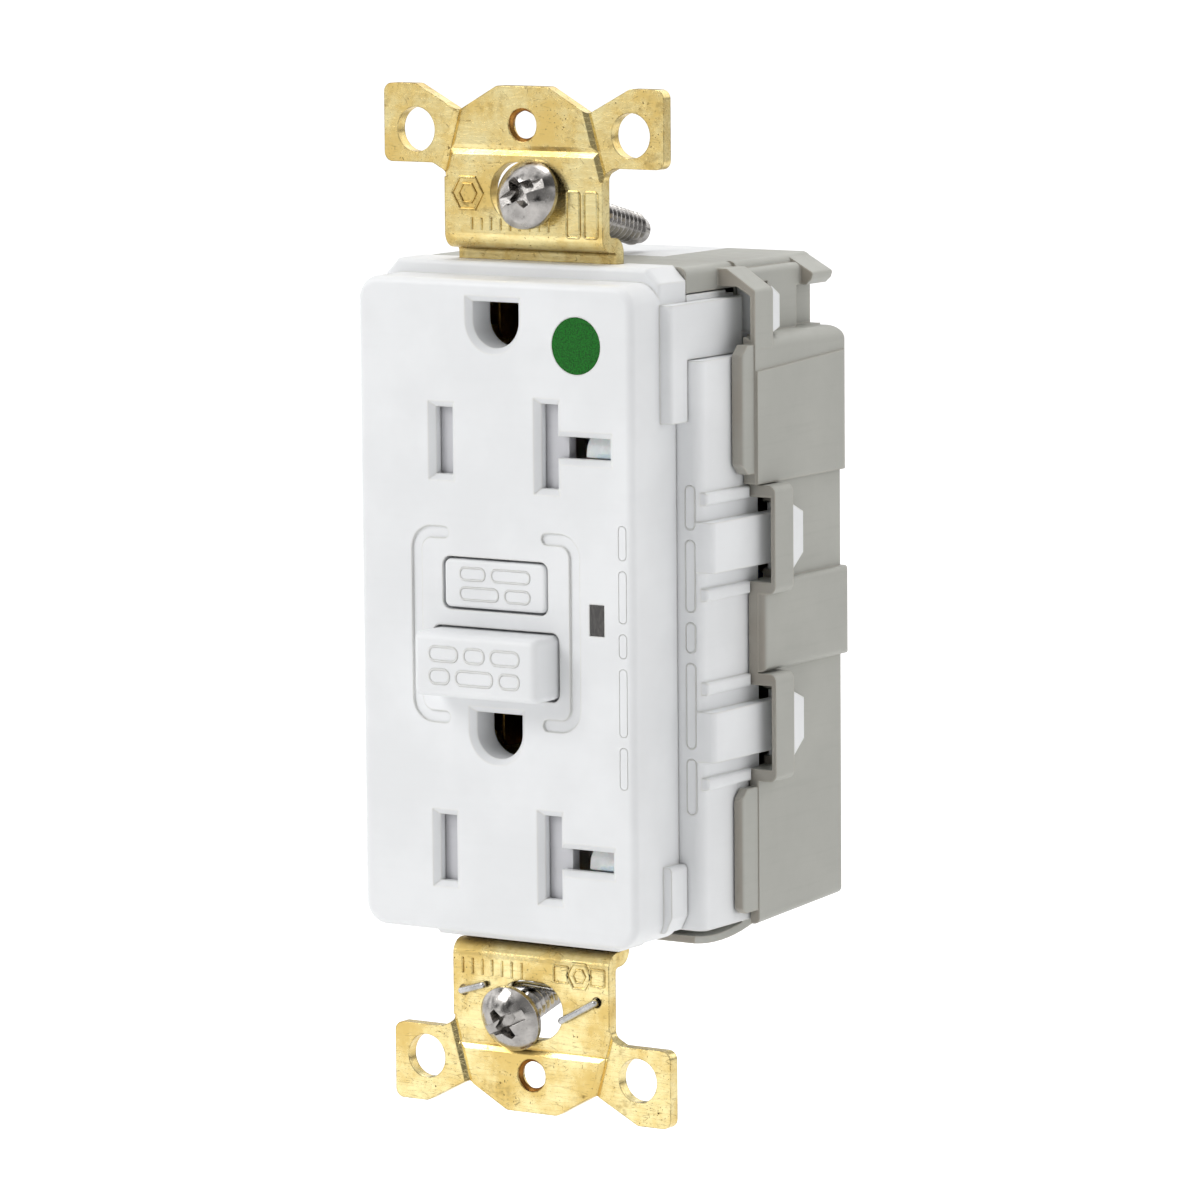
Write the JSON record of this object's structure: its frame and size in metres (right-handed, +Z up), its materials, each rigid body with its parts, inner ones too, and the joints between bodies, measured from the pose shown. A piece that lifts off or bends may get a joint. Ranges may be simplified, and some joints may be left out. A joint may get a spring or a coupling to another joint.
{
  "type": "gfci receptacle",
  "caption": "Duplex ground-fault outlet on a brass mounting strap: white rectangular face with T-slot outlets, test and reset buttons, status lens, gray clip-on back body.",
  "frame": {"origin": "on the back plane of the strap ears, on the vertical centre line, midway between the two mounting-screw slots", "axes": "+X right as seen from the front, +Y into the wall, +Z up"},
  "size_m": [0.0452, 0.0374, 0.1046],
  "materials": {
    "white_plastic": "satin moulded thermoplastic",
    "gray_plastic": "fine-textured moulded thermoplastic",
    "green_plastic": "satin",
    "smoke_lens": "polished smoke-tinted light pipe",
    "brass_plate": "bright rolled sheet with light tarnish",
    "contact_brass": "stamped",
    "screw_steel": "zinc-plated, polished head",
    "spring_steel": "drawn wire",
    "core_steel": "stamped",
    "shutter_plastic": "matt moulded",
    "black_plastic": "matt",
    "copper_wire": "enamelled winding",
    "board_green": "solder mask",
    "varistor_blue": "epoxy dip",
    "resistor_tan": "lacquer",
    "led_red": "tinted epoxy"
  },
  "bodies": {
    "housing": {"front_cover": "white_plastic", "hospital_dot": "green_plastic", "status_lens": "smoke_lens", "test_spring": "spring_steel", "reset_spring": "spring_steel", "mounting_strap": "brass_plate", "self_ground_wire": "spring_steel", "middle_housing": "white_plastic", "back_body": "gray_plastic", "connector_socket": "white_plastic", "shutter_spring_upper": "spring_steel", "shutter_spring_lower": "spring_steel", "hot_contact_rail": "contact_brass", "neutral_contact_rail": "contact_brass", "ground_contact_upper": "contact_brass", "ground_contact_lower": "contact_brass", "ground_rivets": "contact_brass", "fixed_contacts": "contact_brass", "solenoid_bobbin": "black_plastic", "solenoid_coil": "copper_wire", "solenoid_yoke": "core_steel", "circuit_board": "board_green", "sensor_cup": "black_plastic", "sense_toroid": "copper_wire", "neutral_toroid": "copper_wire", "hot_line_bar": "contact_brass", "neutral_line_bar": "contact_brass", "connector_blades": "contact_brass", "varistor": "varistor_blue", "capacitor": "black_plastic", "control_chip": "black_plastic", "resistors": "resistor_tan", "test_contact": "contact_brass", "status_led": "led_red"},
    "test_button": {"test_button": "white_plastic"},
    "reset_button": {"reset_button": "white_plastic"},
    "screw_top": {"mounting_screw_top": "screw_steel"},
    "screw_bottom": {"mounting_screw_bottom": "screw_steel"},
    "shutter_upper": {"shutter_upper": "shutter_plastic"},
    "shutter_lower": {"shutter_lower": "shutter_plastic"},
    "carriage": {"contact_carriage": "shutter_plastic", "contact_arms": "contact_brass"},
    "latch": {"latch_plate": "core_steel"},
    "plunger": {"solenoid_plunger": "core_steel"}
  },
  "joints": [
    {"name": "test_press", "type": "slide", "parent": "housing", "child": "test_button", "axis": [0, 1, 0], "range_m": [0, 0.0015], "stiffness_N_per_m": 20, "springref_m": -0.0008, "deforming": ["test_spring"]},
    {"name": "reset_press", "type": "slide", "parent": "housing", "child": "reset_button", "axis": [0, 1, 0], "range_m": [0, 0.003], "stiffness_N_per_m": 20, "springref_m": -0.0008, "deforming": ["reset_spring"]},
    {"name": "screw_top_spin", "type": "hinge", "parent": "housing", "child": "screw_top", "pos_m": [0.00127, -0.00217, 0.04145], "axis": [0, 0.9724, -0.2334], "continuous": true},
    {"name": "screw_bottom_spin", "type": "hinge", "parent": "housing", "child": "screw_bottom", "pos_m": [-0.0017, -0.00217, -0.0424], "axis": [0, 0.9724, 0.2334], "continuous": true},
    {"name": "shutter_upper_slide", "type": "slide", "parent": "housing", "child": "shutter_upper", "axis": [-1, 0, 0], "range_m": [0, 0.0028], "stiffness_N_per_m": 10, "springref_m": -0.001, "deforming": ["shutter_spring_upper"]},
    {"name": "shutter_lower_slide", "type": "slide", "parent": "housing", "child": "shutter_lower", "axis": [-1, 0, 0], "range_m": [0, 0.0028], "stiffness_N_per_m": 10, "springref_m": -0.001, "deforming": ["shutter_spring_lower"]},
    {"name": "contact_trip", "type": "slide", "parent": "housing", "child": "carriage", "axis": [0, 1, 0], "range_m": [0, 0.0015]},
    {"name": "plunger_pull", "type": "slide", "parent": "housing", "child": "plunger", "axis": [0, 0, 1], "range_m": [0, 0.0012]},
    {"name": "latch_slide", "type": "slide", "parent": "housing", "child": "latch", "axis": [0, 0, 1], "range_m": [0, 0.0012]}
  ],
  "couplings": [
    {"joint": "latch_slide", "follows": "plunger_pull", "ratio": 1}
  ]
}
